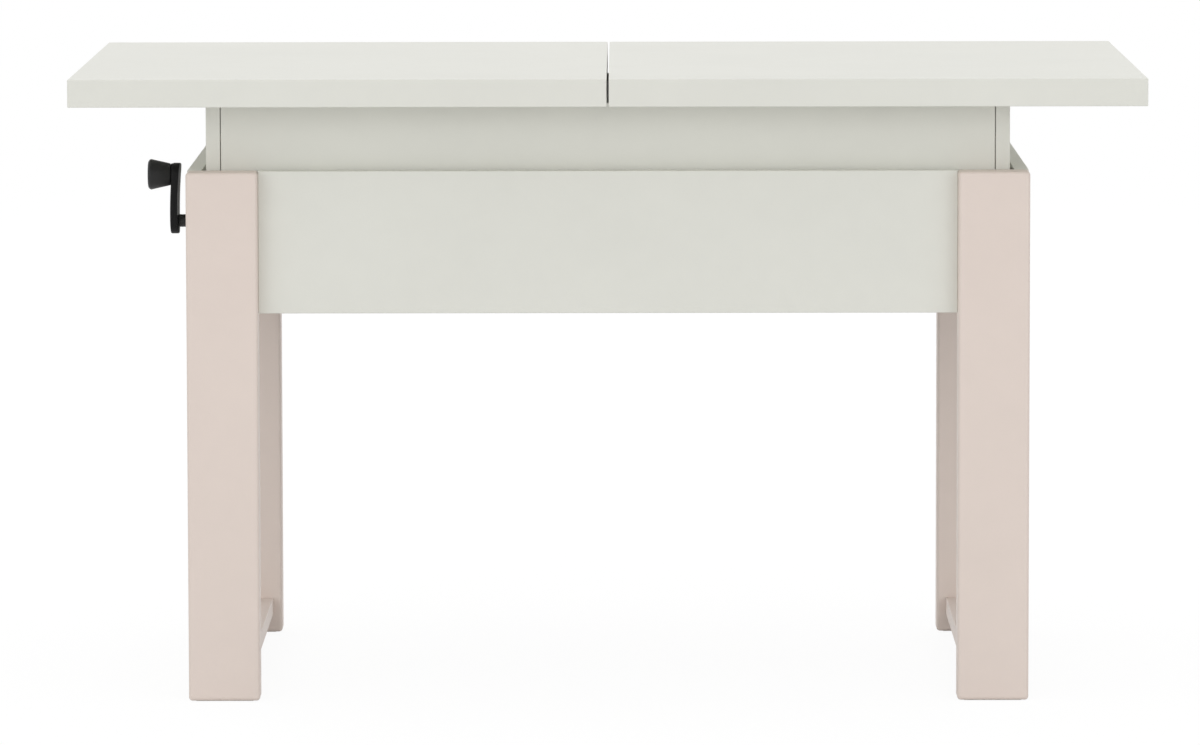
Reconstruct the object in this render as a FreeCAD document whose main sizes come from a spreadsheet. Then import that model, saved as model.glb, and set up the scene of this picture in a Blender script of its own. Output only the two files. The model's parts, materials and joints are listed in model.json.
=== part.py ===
import FreeCAD, Part
import math
import os
import re
import Sketcher

# Extendable coffee table with a crank lift. Millimetres, +Z up, front is -Y, crank at -X.
# The document stands at the photographed height, with the top raised part-way.

VEC = FreeCAD.Vector
doc = FreeCAD.newDocument("crank_lift_coffee_table")

SIZES = (
    ("top_long", 1200, "closed top, left to right"),
    ("top_deep", 700, "top, front to back"),
    ("top_thick", 31, "thickness of the halves and the leaf"),
    ("seam_gap", 2.4, "open seam between the closed halves"),
    ("edge_round", 1, "rounding of the board edges"),
    ("frame_long", 944, "over the legs, left to right"),
    ("top_over_deep", 44, "top beyond the legs at front and back"),
    ("leg_wide", 80, "leg, left to right"),
    ("leg_thick", 38, "leg, front to back"),
    ("leg_high", 596.5, "leg top above the floor"),
    ("leg_round", 4, "rounding of the leg edges"),
    ("foot_thick", 1, "foot pad thickness"),
    ("foot_inset", 8, "foot pad edge inside the leg edge"),
    ("apron_high", 160, "height of the outer box"),
    ("board_thick", 16, "thickness of the box boards"),
    ("stretcher_wide", 58, "low stretcher, left to right"),
    ("stretcher_thick", 20, "low stretcher thickness"),
    ("stretcher_low", 22, "underside of the stretcher above the floor"),
    ("box_gap_side", 5, "gap between the boxes at the ends"),
    ("box_gap_front", 4, "gap between the boxes at front and back"),
    ("slide_gap", 0.4, "running clearance of the glide pads"),
    ("glide_long", 40, "glide pad length"),
    ("glide_high", 10, "glide pad height"),
    ("glide_drop", 4, "glide pad below the apron top"),
    ("inner_high", 135, "height of the inner box"),
    ("inner_drop", 1, "inner box below the halves"),
    ("panel_gap", 0.8, "shadow gap between the inner panels and their ends"),
    ("low_gap", 2.5, "halves above the legs at the lowest height"),
    ("raise_rest", 73.5, "photographed height above the lowest"),
    ("slot_wide", 26, "shaft slot in the left inner end panel"),
    ("slot_spare", 13, "slot end above the shaft at the lowest height"),
    ("rail_wide", 30, "steel rail width"),
    ("rail_tall", 20, "lower rail height"),
    ("rail_wall", 2, "rail wall"),
    ("rail_drop", 2, "lower rail above the apron underside"),
    ("rail_inset", 20, "rail centre inside the leaf edge"),
    ("upper_rail_tall", 18, "upper rail height"),
    ("plate_thick", 3, "end plate thickness"),
    ("plate_wide", 46, "end plate width"),
    ("cross_inset", 56, "cross member centre from the end panel"),
    ("leaf_room", 26, "leaf edge to the guide rails"),
    ("leaf_gap", 6, "leaf below the closed halves"),
    ("felt_thick", 2, "felt under the leaf"),
    ("felt_wide", 24, "felt strip width"),
    ("felt_inset", 5, "felt end inside the leaf end"),
    ("arm_span", 600, "scissor arm between its end pivots"),
    ("arm_wide", 25, "scissor arm height"),
    ("arm_thick", 5, "scissor arm thickness"),
    ("arm_inset", 10, "inner face of the inner arms from the rail centre"),
    ("arm_gap", 2, "gap between crossing arms"),
    ("pivot_dia", 10, "pivot pin"),
    ("pivot_play", 0.8, "diameter play of the open upper pivot"),
    ("pivot_bias", 0.29, "open pivot pin below its hole centre"),
    ("run_play", 0.1, "diameter play of a running fit"),
    ("tie_dia", 14, "centre shaft between the inner arms"),
    ("ear_thick", 4, "pivot ear thickness"),
    ("ear_wide", 34, "pivot ear width"),
    ("ear_gap", 1, "pivot ear to scissor arm"),
    ("pin_over", 2, "shaft and pin ends beyond the last piece"),
    ("roller_dia", 30, "scissor roller"),
    ("roller_wide", 10, "scissor roller width"),
    ("seat_gap", 0.3, "roller to rail clearance"),
    ("axle_dia", 12, "lower axle"),
    ("crank_drop", 78.5, "crank axis below the leg tops"),
    ("spindle_dia", 12, "lift spindle"),
    ("spindle_over", 56, "spindle end beyond the nut pivot"),
    ("nut_long", 30, "spindle nut along the spindle"),
    ("nut_wide", 40, "spindle nut across"),
    ("nut_lip", 15, "nut metal around its bores"),
    ("bearing_thick", 16, "spindle bearing block"),
    ("bearing_wide", 44, "spindle bearing block across"),
    ("bearing_lip", 20, "bearing block above the spindle axis"),
    ("collar_dia", 24, "thrust collar"),
    ("collar_thick", 8, "thrust collar"),
    ("collar_gap", 0.3, "thrust collar to bearing"),
    ("bush_dia", 18, "crank bush"),
    ("bush_out", 16, "crank bush beyond the end panel"),
    ("flange_dia", 28, "crank bush flange"),
    ("flange_thick", 2, "crank bush flange"),
    ("hub_dia", 14.6, "crank hub"),
    ("hub_gap", 0.5, "crank hub to bush"),
    ("hub_long", 8, "crank hub"),
    ("crank_throw", 53.6, "crank axis to knob axis"),
    ("crank_thick", 10, "crank arm thickness"),
    ("crank_big", 15, "crank arm radius at the hub"),
    ("crank_small", 13.3, "crank arm radius at the knob"),
    ("crank_bow", 600, "bow radius of the crank arm"),
    ("crank_crest", 8, "highest point of the bow above the axis"),
    ("knob_gap", 0.5, "knob to crank arm"),
    ("knob_long", 26, "knob"),
    ("knob_big", 38.4, "knob outer diameter before its rim is rounded"),
    ("knob_small", 25.4, "knob diameter at the arm"),
    ("knob_round", 5, "rounding of the knob rim"),
    ("knob_pin_dia", 8, "knob bolt"),
    ("knob_floor", 5, "knob beyond its bolt"),
    ("roll_pin_dia", 4, "roll pin through hub and spindle"),
    ("guide_wide", 22, "guide rail"),
    ("guide_tall", 18, "guide rail"),
    ("guide_wall", 2.5, "guide rail wall"),
    ("guide_slot", 9, "guide rail slot"),
    ("guide_drop", 8, "guide rail below the halves"),
    ("runner_stem", 6, "runner stem"),
    ("runner_flange", 20, "runner flange"),
    ("runner_plate", 3, "runner flange thickness"),
    ("runner_side", 0.7, "runner side clearance"),
    ("runner_lift", 0.5, "runner clearance under the guide lips"),
    ("runner_end", 12, "runner end from the seam"),
    ("stop_gap", 0.5, "runner to end panel when pulled out"),
    ("dowel_dia", 8, "joint dowel"),
    ("dowel_half", 14, "joint dowel in each board"),
    ("dowel_step", 40, "joint dowel from the apron edges"),
    ("block_wide", 30, "corner block"),
    ("block_tall", 80, "corner block"),
    ("block_lift", 6, "corner block above the panel underside"),
)

sheet = doc.addObject("Spreadsheet::Sheet", "dims")
value = {}
for row, (alias, number, note) in enumerate(SIZES, start=1):
    sheet.set(f"A{row}", note)
    sheet.set(f"B{row}", str(number))
    sheet.setAlias(f"B{row}", alias)
    value[alias] = number
doc.recompute()

# Levels and positions used by more than one piece, written with the names of the sheet
LEG_X = "(frame_long / 2 - leg_wide / 2)"
FRAME_DEEP = "(top_deep - 2 * top_over_deep)"
LEG_Y = f"({FRAME_DEEP} / 2 - leg_thick / 2)"
LEG_BACK = f"({FRAME_DEEP} / 2 - leg_thick)"
APRON_TOP = "leg_high"
APRON_LOW = f"({APRON_TOP} - apron_high)"
APRON_Y = f"({LEG_BACK} + board_thick / 2)"
END_X = "(frame_long / 2 - board_thick / 2)"
WELL_X = "(frame_long / 2 - board_thick)"
UNDER = "(leg_high + low_gap + raise_rest)"
INNER_TOP = f"({UNDER} - inner_drop)"
INNER_LOW = f"({INNER_TOP} - inner_high)"
INNER_X = f"({WELL_X} - box_gap_side)"
INNER_Y = f"({LEG_BACK} - box_gap_front)"
ROOM_X = f"({INNER_X} - board_thick)"
ROOM_Y = f"({INNER_Y} - board_thick)"
GUIDE_Y = f"({ROOM_Y} - guide_wide / 2)"
LEAF_WIDE = f"(2 * ({ROOM_Y} - guide_wide - leaf_room))"
HALF_TRAVEL = f"({LEAF_WIDE} / 2)"
RAIL_Y = f"({LEAF_WIDE} / 2 - rail_inset)"
CROSS_X = f"({WELL_X} - cross_inset)"
RAIL_LOW = f"({APRON_LOW} + rail_drop)"
RAIL_TOP = f"({RAIL_LOW} + rail_tall)"
PIVOT_Z = f"({RAIL_TOP} + seat_gap + roller_dia / 2)"
LEAF_LOW = f"({UNDER} - leaf_gap - top_thick)"
UPPER_TOP = f"({LEAF_LOW} - felt_thick)"
UPPER_LOW = f"({UPPER_TOP} - upper_rail_tall)"
ROLLER_Z = f"({UPPER_LOW} - seat_gap - roller_dia / 2)"
RISE = f"({ROLLER_Z} - {PIVOT_Z})"
REACH = f"sqrt(arm_span ^ 2 - {RISE} ^ 2)"
PIVOT_X = "(arm_span / 2)"
FOOT_X = f"({PIVOT_X} - {REACH})"
ARM_Y = f"({RAIL_Y} - arm_inset)"
ARM_IN = f"({ARM_Y} + arm_thick / 2)"
ARM_OUT = f"({ARM_Y} + arm_thick * 1.5 + arm_gap)"
ARM_END = f"({ARM_Y} + arm_thick * 2 + arm_gap)"
CRANK_Z = "(leg_high - crank_drop)"
BUSH_END = "(frame_long / 2 + bush_out)"
ARM_FACE = f"({BUSH_END} + hub_gap + hub_long)"
CREST = f"({ARM_FACE} + crank_thick)"
KNOB_Z = f"({CRANK_Z} + crank_throw)"
KNOB_SEAT = f"({CREST} - (crank_throw - crank_crest - knob_small / 2) ^ 2 / (2 * crank_bow))"
KNOB_X = f"({KNOB_SEAT} + knob_gap)"


def ex(text):
    """The text with every name of the sheet made into a reference to it."""
    return re.sub(r"[a-z_]+", lambda m: "dims." + m[0] if m[0] in value else m[0], str(text))


def bind(obj, **rules):
    for name, text in rules.items():
        obj.setExpression(name, ex(text))
    return obj


def place(obj, x, y, z):
    for axis, text in zip("xyz", (x, y, z)):
        obj.setExpression(".Placement.Base." + axis, ex(text))
    return obj


def box(name, size, corner):
    obj = doc.addObject("Part::Box", name)
    bind(obj, Length=size[0], Width=size[1], Height=size[2])
    return place(obj, *corner)


TURNS = {
    "x": FreeCAD.Rotation(VEC(0, 1, 0), 90),
    "y": FreeCAD.Rotation(VEC(1, 0, 0), -90),
    "z": FreeCAD.Rotation(),
}


def rod(name, axis, dia, length, start):
    obj = doc.addObject("Part::Cylinder", name)
    obj.Placement = FreeCAD.Placement(VEC(), TURNS[axis])
    bind(obj, Radius=f"({dia}) / 2", Height=length)
    return place(obj, *start)


def group(name, members):
    obj = doc.addObject("Part::Compound", name)
    obj.Links = members
    return obj


def cut(name, base, tools):
    obj = doc.addObject("Part::Cut", name)
    obj.Base = base
    obj.Tool = tools[0] if len(tools) == 1 else group(name + "_tools", tools)
    return obj


def ring(name, axis, outer, inner, length, start):
    return cut(name, rod(name + "_solid", axis, outer, length, start),
               [rod(name + "_bore", axis, inner, length, start)])


def tube(name, axis, size, corner):
    """A rectangular steel tube, open at both ends, along x or y."""
    lx, ly, lz = size
    wall = "rail_wall"
    if axis == "x":
        hollow = (lx, f"{ly} - 2 * {wall}", f"{lz} - 2 * {wall}")
        start = (corner[0], f"{corner[1]} + {wall}", f"{corner[2]} + {wall}")
    else:
        hollow = (f"{lx} - 2 * {wall}", ly, f"{lz} - 2 * {wall}")
        start = (f"{corner[0]} + {wall}", corner[1], f"{corner[2]} + {wall}")
    return cut(name, box(name + "_outside", size, corner), [box(name + "_hollow", hollow, start)])


def new_body(name):
    return doc.addObject("PartDesign::Body", name)


def new_sketch(body, plane):
    sketch = body.newObject("Sketcher::SketchObject", body.Name + "_sketch")
    support = [f for f in body.Origin.OriginFeatures if f.Role == plane][0]
    sketch.AttachmentSupport = [(support, "")]
    sketch.MapMode = "FlatFace"
    return sketch


def pad(body, sketch, length):
    """A pad that is centred on its sketch plane."""
    feature = body.newObject("PartDesign::Pad", body.Name + "_pad")
    feature.Profile = sketch
    feature.SideType = "Symmetric"
    return bind(feature, Length=length)


def fillet(body, base, edges, radius):
    doc.recompute()
    feature = body.newObject("PartDesign::Fillet", body.Name + "_fillet")
    feature.Base = (base, edges)
    return bind(feature, Radius=radius)


def line(start, end):
    return Part.LineSegment(VEC(*start, 0), VEC(*end, 0))


def polygon(sketch, corners):
    """A closed outline with every corner held to the origin by two named distances."""
    count = len(corners)
    spots = [(10 * math.cos(6.28 * i / count), 10 * math.sin(6.28 * i / count)) for i in range(count)]
    for i in range(count):
        sketch.addGeometry(line(spots[i], spots[(i + 1) % count]), False)
    for i in range(count):
        sketch.addConstraint(Sketcher.Constraint("Coincident", i, 2, (i + 1) % count, 1))
    for i, (across, up) in enumerate(corners):
        for kind, letter, text, number in (("DistanceX", "u", across, spots[i][0]),
                                           ("DistanceY", "v", up, spots[i][1])):
            index = sketch.addConstraint(Sketcher.Constraint(kind, -1, 1, i, 1, number))
            sketch.renameConstraint(index, f"{letter}{i}")
            sketch.setExpression(f"Constraints.{letter}{i}", ex(text))


def board(name, size, centre, radius):
    """A board with rounded edges: centre of its underside, then length, depth and height."""
    body = new_body(name)
    sketch = new_sketch(body, "XY_Plane")
    for start, end in (((-5, -5), (5, -5)), ((5, -5), (5, 5)), ((5, 5), (-5, 5)), ((-5, 5), (-5, -5))):
        sketch.addGeometry(line(start, end), False)
    rules = [("Coincident", i, 2, (i + 1) % 4, 1) for i in range(4)]
    rules += [("Horizontal", 0), ("Horizontal", 2), ("Vertical", 1), ("Vertical", 3)]
    rules += [("Symmetric", 0, 1, 1, 2, -1, 1)]
    for rule in rules:
        sketch.addConstraint(Sketcher.Constraint(*rule))
    for index, rule, label, text in ((0, "DistanceX", "length", size[0]),
                                     (1, "DistanceY", "depth", size[1])):
        number = sketch.addConstraint(Sketcher.Constraint(rule, index, 1, index, 2, 10))
        sketch.renameConstraint(number, label)
        sketch.setExpression("Constraints." + label, ex(text))
    solid = pad(body, sketch, size[2])
    if radius:
        fillet(body, solid, [f"Edge{i}" for i in range(1, 13)], radius)
    return place(body, centre[0], centre[1], f"{centre[2]} + ({size[2]}) / 2")


def joint_dowels(name, axis, spots):
    """Dowels that sit half in one board and half in the next."""
    return [rod(f"{name}_{i}", axis, "dowel_dia", "2 * dowel_half", spot) for i, spot in enumerate(spots)]


nodes = []


def node(obj, label):
    obj.Label = label
    nodes.append(obj)
    return obj


ENDS = (("left", "-1"), ("right", "1"))
SIDES = (("front", "-1"), ("rear", "1"))

# Joint dowels of the outer frame
apron_dowels = {}
panel_dowels = {}
stretcher_dowels = {}
for side, sy in SIDES:
    for end, sx in ENDS:
        levels = (f"{APRON_TOP} - dowel_step", f"{APRON_LOW} + dowel_step")
        seat_x = f"{sx} * (frame_long / 2 - leg_wide) - dowel_half"
        apron_dowels[side, end] = joint_dowels(
            f"apron_dowel_{side}_{end}", "x", [(seat_x, f"{sy} * {APRON_Y}", z) for z in levels])
        seat_y = f"{sy} * {LEG_BACK} - dowel_half"
        panel_dowels[side, end] = joint_dowels(
            f"panel_dowel_{side}_{end}", "y", [(f"{sx} * {END_X}", seat_y, z) for z in levels])
        spread = [f"{sx} * {LEG_X} + {k} * stretcher_wide / 4" for k in ("-1", "1")]
        stretcher_dowels[side, end] = joint_dowels(
            f"stretcher_dowel_{side}_{end}", "y",
            [(x, seat_y, "stretcher_low + stretcher_thick / 2") for x in spread])

# Legs, stretchers and the outer box
for side, sy in SIDES:
    for end, sx in ENDS:
        leg = board(f"leg_{side}_{end}_board", ("leg_wide", "leg_thick", "leg_high - foot_thick"),
                    (f"{sx} * {LEG_X}", f"{sy} * {LEG_Y}", "foot_thick"), "leg_round")
        bores = apron_dowels[side, end] + panel_dowels[side, end] + stretcher_dowels[side, end]
        node(cut(f"leg_{side}_{end}", leg, bores), f"leg_{side}_{end}")

for end, sx in ENDS:
    rail = board(f"stretcher_{end}_board",
                 ("stretcher_wide", f"2 * {LEG_BACK}", "stretcher_thick"),
                 (f"{sx} * {LEG_X}", "0", "stretcher_low"), "edge_round")
    node(cut(f"stretcher_{end}", rail, stretcher_dowels["front", end] + stretcher_dowels["rear", end]),
         f"stretcher_{end}")

for side, sy in SIDES:
    apron = board(f"apron_{side}_board", ("frame_long - 2 * leg_wide", "board_thick", "apron_high"),
                  ("0", f"{sy} * {APRON_Y}", APRON_LOW), "edge_round")
    node(cut(f"apron_{side}", apron, apron_dowels[side, "left"] + apron_dowels[side, "right"]),
         f"apron_{side}")

for end, sx in ENDS:
    panel = board(f"end_panel_{end}_board", ("board_thick", f"2 * {LEG_BACK}", "apron_high"),
                  (f"{sx} * {END_X}", "0", APRON_LOW), "edge_round")
    bores = panel_dowels["front", end] + panel_dowels["rear", end]
    if end == "left":
        bores = bores + [rod("bush_hole", "x", "bush_dia", "2 * board_thick",
                             ("-frame_long / 2 - board_thick / 2", "0", CRANK_Z))]
    node(cut(f"end_panel_{end}", panel, bores), f"end_panel_{end}")

dowels = [d for table in (apron_dowels, panel_dowels) for pair in table.values() for d in pair]
node(group("frame_dowels", dowels), "frame_dowels")
node(group("stretcher_dowels", [d for pair in stretcher_dowels.values() for d in pair]), "stretcher_dowels")

feet = []
for side, sy in SIDES:
    for end, sx in ENDS:
        feet.append(box(f"foot_{side}_{end}",
                        ("leg_wide - 2 * foot_inset", "leg_thick - 2 * foot_inset", "foot_thick"),
                        (f"{sx} * {LEG_X} - leg_wide / 2 + foot_inset",
                         f"{sy} * {LEG_Y} - leg_thick / 2 + foot_inset", "0")))
node(group("foot_pads", feet), "foot_pads")

glides = []
glide_z = f"{APRON_TOP} - glide_drop - glide_high"
for side, sy in SIDES:
    thick = "(box_gap_front - slide_gap)"
    for end, sx in ENDS:
        start = f"{sy} * ({LEG_BACK} - {thick} / 2) - {thick} / 2"
        glides.append(box(f"glide_{side}_{end}", ("glide_long", thick, "glide_high"),
                          (f"{sx} * frame_long / 3 - glide_long / 2", start, glide_z)))
for end, sx in ENDS:
    thick = "(box_gap_side - slide_gap)"
    for side, sy in SIDES:
        start = f"{sx} * ({WELL_X} - {thick} / 2) - {thick} / 2"
        glides.append(box(f"glide_{end}_{side}", (thick, "glide_long", "glide_high"),
                          (start, f"{sy} * {FRAME_DEEP} / 4 - glide_long / 2", glide_z)))
node(group("glide_pads", glides), "glide_pads")

# Lower steel frame, screwed between the outer end panels
rails = []
plates = []
for side, sy in SIDES:
    length = f"2 * ({WELL_X} - plate_thick)"
    rails.append(tube(f"base_rail_{side}", "x", (length, "rail_wide", "rail_tall"),
                      (f"-({WELL_X} - plate_thick)", f"{sy} * {RAIL_Y} - rail_wide / 2", RAIL_LOW)))
    for end, sx in ENDS:
        plates.append(box(f"base_plate_{side}_{end}", ("plate_thick", "plate_wide", "rail_tall"),
                          (f"{sx} * ({WELL_X} - plate_thick / 2) - plate_thick / 2",
                           f"{sy} * {RAIL_Y} - plate_wide / 2", RAIL_LOW)))
node(group("base_rails", rails), "base_rails")
node(group("base_rail_plates", plates), "base_rail_plates")

members = []
for end, sx in ENDS:
    members.append(tube(f"cross_member_{end}", "y",
                        ("rail_wide", f"2 * {RAIL_Y} - rail_wide", "rail_tall"),
                        (f"{sx} * {CROSS_X} - rail_wide / 2", f"-{RAIL_Y} + rail_wide / 2", RAIL_LOW)))
node(group("base_cross_members", members), "base_cross_members")

bearing = board("spindle_bearing_block",
                ("bearing_thick", "bearing_wide", f"{CRANK_Z} + bearing_lip - {RAIL_TOP}"),
                (f"-{CROSS_X}", "0", RAIL_TOP), "edge_round")
node(cut("spindle_bearing", bearing,
         [rod("bearing_bore", "x", "spindle_dia + run_play", "2 * bearing_thick",
              (f"-{CROSS_X} - bearing_thick", "0", CRANK_Z))]), "spindle_bearing")

bush_body = rod("bush_body", "x", "bush_dia", "bush_out + board_thick", (f"-{BUSH_END}", "0", CRANK_Z))
bush_flange = rod("bush_flange", "x", "flange_dia", "flange_thick",
                  ("-frame_long / 2 - flange_thick", "0", CRANK_Z))
bush = doc.addObject("Part::Fuse", "bush_blank")
bush.Base = bush_body
bush.Tool = bush_flange
node(cut("crank_bush", bush,
         [rod("bush_bore", "x", "spindle_dia + run_play", "bush_out + board_thick",
              (f"-{BUSH_END}", "0", CRANK_Z))]), "crank_bush")

ears = []
for side, sy in SIDES:
    middle = f"({sy} * ({ARM_Y} - ear_gap - ear_thick / 2))"
    plate = box(f"base_ear_{side}_plate",
                ("ear_wide", "ear_thick", "seat_gap + roller_dia / 2 + arm_wide / 2"),
                (f"{PIVOT_X} - ear_wide / 2", f"{middle} - ear_thick / 2", RAIL_TOP))
    ears.append(cut(f"base_ear_{side}", plate,
                    [rod(f"base_ear_{side}_bore", "y", "pivot_dia", "3 * ear_thick",
                         (PIVOT_X, f"{middle} - 1.5 * ear_thick", PIVOT_Z))]))
node(group("base_pivot_ears", ears), "base_pivot_ears")
node(rod("base_pivot_shaft", "y", "pivot_dia", f"2 * ({ARM_END} - arm_thick)",
         (PIVOT_X, f"-({ARM_END} - arm_thick)", PIVOT_Z)), "base_pivot_shaft")

# Inner box, which the scissors lift
inner_dowels = {}
for side, sy in SIDES:
    for end, sx in ENDS:
        levels = (f"{INNER_LOW} + dowel_step", f"{INNER_TOP} - dowel_step")
        start = f"{sx} * ({ROOM_X} - dowel_half / 4) - dowel_half"
        inner_dowels[side, end] = joint_dowels(
            f"inner_dowel_{side}_{end}", "x",
            [(start, f"{sy} * ({INNER_Y} - board_thick / 2)", z) for z in levels])

for side, sy in SIDES:
    panel = board(f"inner_panel_{side}_board", (f"2 * ({ROOM_X} - panel_gap)", "board_thick", "inner_high"),
                  ("0", f"{sy} * ({INNER_Y} - board_thick / 2)", INNER_LOW), "edge_round")
    node(cut(f"inner_panel_{side}", panel, inner_dowels[side, "left"] + inner_dowels[side, "right"]),
         f"inner_panel_{side}")

for end, sx in ENDS:
    panel = board(f"inner_end_{end}_board", ("board_thick", f"2 * {INNER_Y}", "inner_high"),
                  (f"{sx} * ({INNER_X} - board_thick / 2)", "0", INNER_LOW), "edge_round")
    bores = inner_dowels["front", end] + inner_dowels["rear", end]
    if end == "left":
        slot_top = f"({CRANK_Z} + slot_spare + raise_rest)"
        slot_low = f"({INNER_LOW} - board_thick)"
        bores = bores + [
            box("shaft_slot", ("2 * board_thick", "slot_wide", f"{slot_top} - slot_wide / 2 - {slot_low}"),
                (f"-{INNER_X} - board_thick / 2", "-slot_wide / 2", slot_low)),
            rod("shaft_slot_end", "x", "slot_wide", "2 * board_thick",
                (f"-{INNER_X} - board_thick / 2", "0", f"{slot_top} - slot_wide / 2"))]
    node(cut(f"inner_end_{end}", panel, bores), f"inner_end_{end}")
node(group("inner_dowels", [d for pair in inner_dowels.values() for d in pair]), "inner_dowels")

blocks = []
for side, sy in SIDES:
    for end, sx in ENDS:
        blocks.append(box(f"corner_block_{side}_{end}", ("block_wide", "block_wide", "block_tall"),
                          (f"{sx} * ({ROOM_X} - block_wide / 2) - block_wide / 2",
                           f"{sy} * ({ROOM_Y} - block_wide / 2) - block_wide / 2",
                           f"{INNER_LOW} + block_lift")))
node(group("corner_blocks", blocks), "corner_blocks")

rails = []
plates = []
felts = []
for side, sy in SIDES:
    rails.append(tube(f"upper_rail_{side}", "x",
                      (f"2 * ({ROOM_X} - plate_thick)", "rail_wide", "upper_rail_tall"),
                      (f"-({ROOM_X} - plate_thick)", f"{sy} * {RAIL_Y} - rail_wide / 2", UPPER_LOW)))
    for end, sx in ENDS:
        plates.append(box(f"upper_plate_{side}_{end}", ("plate_thick", "plate_wide", "2 * upper_rail_tall"),
                          (f"{sx} * ({ROOM_X} - plate_thick / 2) - plate_thick / 2",
                           f"{sy} * {RAIL_Y} - plate_wide / 2", f"{UPPER_LOW} - upper_rail_tall / 2")))
    felts.append(box(f"leaf_felt_{side}", ("top_deep - 2 * felt_inset", "felt_wide", "felt_thick"),
                     ("-top_deep / 2 + felt_inset", f"{sy} * {RAIL_Y} - felt_wide / 2", UPPER_TOP)))
node(group("upper_rails", rails), "upper_rails")
node(group("upper_rail_plates", plates), "upper_rail_plates")
node(group("leaf_felts", felts), "leaf_felts")

ears = []
pins = []
open_z = f"({ROLLER_Z} - pivot_bias)"
for side, sy in SIDES:
    middle = f"({sy} * ({ARM_END} + ear_gap + ear_thick / 2))"
    height = f"({UPPER_LOW} - {open_z} + arm_wide / 2)"
    plate = box(f"upper_ear_{side}_plate", ("ear_wide", "ear_thick", height),
                (f"{PIVOT_X} - ear_wide / 2", f"{middle} - ear_thick / 2", f"{UPPER_LOW} - {height}"))
    ears.append(cut(f"upper_ear_{side}", plate,
                    [rod(f"upper_ear_{side}_bore", "y", "pivot_dia", "3 * ear_thick",
                         (PIVOT_X, f"{middle} - 1.5 * ear_thick", open_z))]))
    length = "(arm_thick + ear_gap + ear_thick + 2 * pin_over)"
    pin_middle = f"({sy} * ({ARM_END} + ear_gap + ear_thick + pin_over - {length} / 2))"
    pins.append(rod(f"upper_pin_{side}", "y", "pivot_dia", length,
                    (PIVOT_X, f"{pin_middle} - {length} / 2", open_z)))
node(group("upper_pivot_ears", ears), "upper_pivot_ears")
node(group("upper_pivot_pins", pins), "upper_pivot_pins")

# Guide rails for the halves, open towards the top
guides = []
for side, sy in SIDES:
    body = new_body(f"guide_rail_{side}")
    half = "guide_wide / 2"
    inside = "(guide_wide / 2 - guide_wall)"
    polygon(new_sketch(body, "YZ_Plane"), (
        (f"-{half}", "0"), (half, "0"), (half, "guide_tall"), ("guide_slot / 2", "guide_tall"),
        ("guide_slot / 2", "guide_tall - guide_wall"), (inside, "guide_tall - guide_wall"),
        (inside, "guide_wall"), (f"-{inside}", "guide_wall"), (f"-{inside}", "guide_tall - guide_wall"),
        ("-guide_slot / 2", "guide_tall - guide_wall"), ("-guide_slot / 2", "guide_tall"),
        (f"-{half}", "guide_tall")))
    pad(body, body.Group[0], f"2 * {ROOM_X}")
    guides.append(place(body, "0", f"{sy} * {GUIDE_Y}", f"{UNDER} - guide_drop - guide_tall"))
node(group("guide_rails", guides), "guide_rails")

# Spare leaf, stored crossways on the upper rails
leaf = board("spare_leaf", ("top_deep", LEAF_WIDE, "top_thick"), ("0", "0", LEAF_LOW), "edge_round")
node(leaf, "spare_leaf")

# Top halves with their runners; light shows through the seam, so no dowels cross it
for end, sx in ENDS:
    half = board(f"top_half_{end}", ("(top_long - seam_gap) / 2", "top_deep", "top_thick"),
                 (f"{sx} * (top_long + seam_gap) / 4", "0", UNDER), "edge_round")
    node(half, f"top_half_{end}")

for end, sx in ENDS:
    runners = []
    outer = f"({ROOM_X} - {HALF_TRAVEL} - stop_gap)"
    for side, sy in SIDES:
        body = new_body(f"runner_{end}_{side}")
        stem = "runner_stem / 2"
        foot = "(guide_wide / 2 - guide_wall - runner_side)"
        neck = "-(guide_drop + guide_wall + runner_lift)"
        floor = "-(guide_drop + guide_tall - guide_wall - seat_gap)"
        polygon(new_sketch(body, "YZ_Plane"), (
            ("-runner_flange / 2", "0"), ("-runner_flange / 2", "-runner_plate"),
            (f"-{stem}", "-runner_plate"), (f"-{stem}", neck), (f"-{foot}", neck), (f"-{foot}", floor),
            (foot, floor), (foot, neck),
            (stem, neck), (stem, "-runner_plate"), ("runner_flange / 2", "-runner_plate"),
            ("runner_flange / 2", "0")))
        pad(body, body.Group[0], f"{outer} - runner_end")
        runners.append(place(body, f"{sx} * ({outer} + runner_end) / 2", f"{sy} * {GUIDE_Y}", UNDER))
    node(group(f"runners_{end}", runners), f"runners_{end}")


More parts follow.
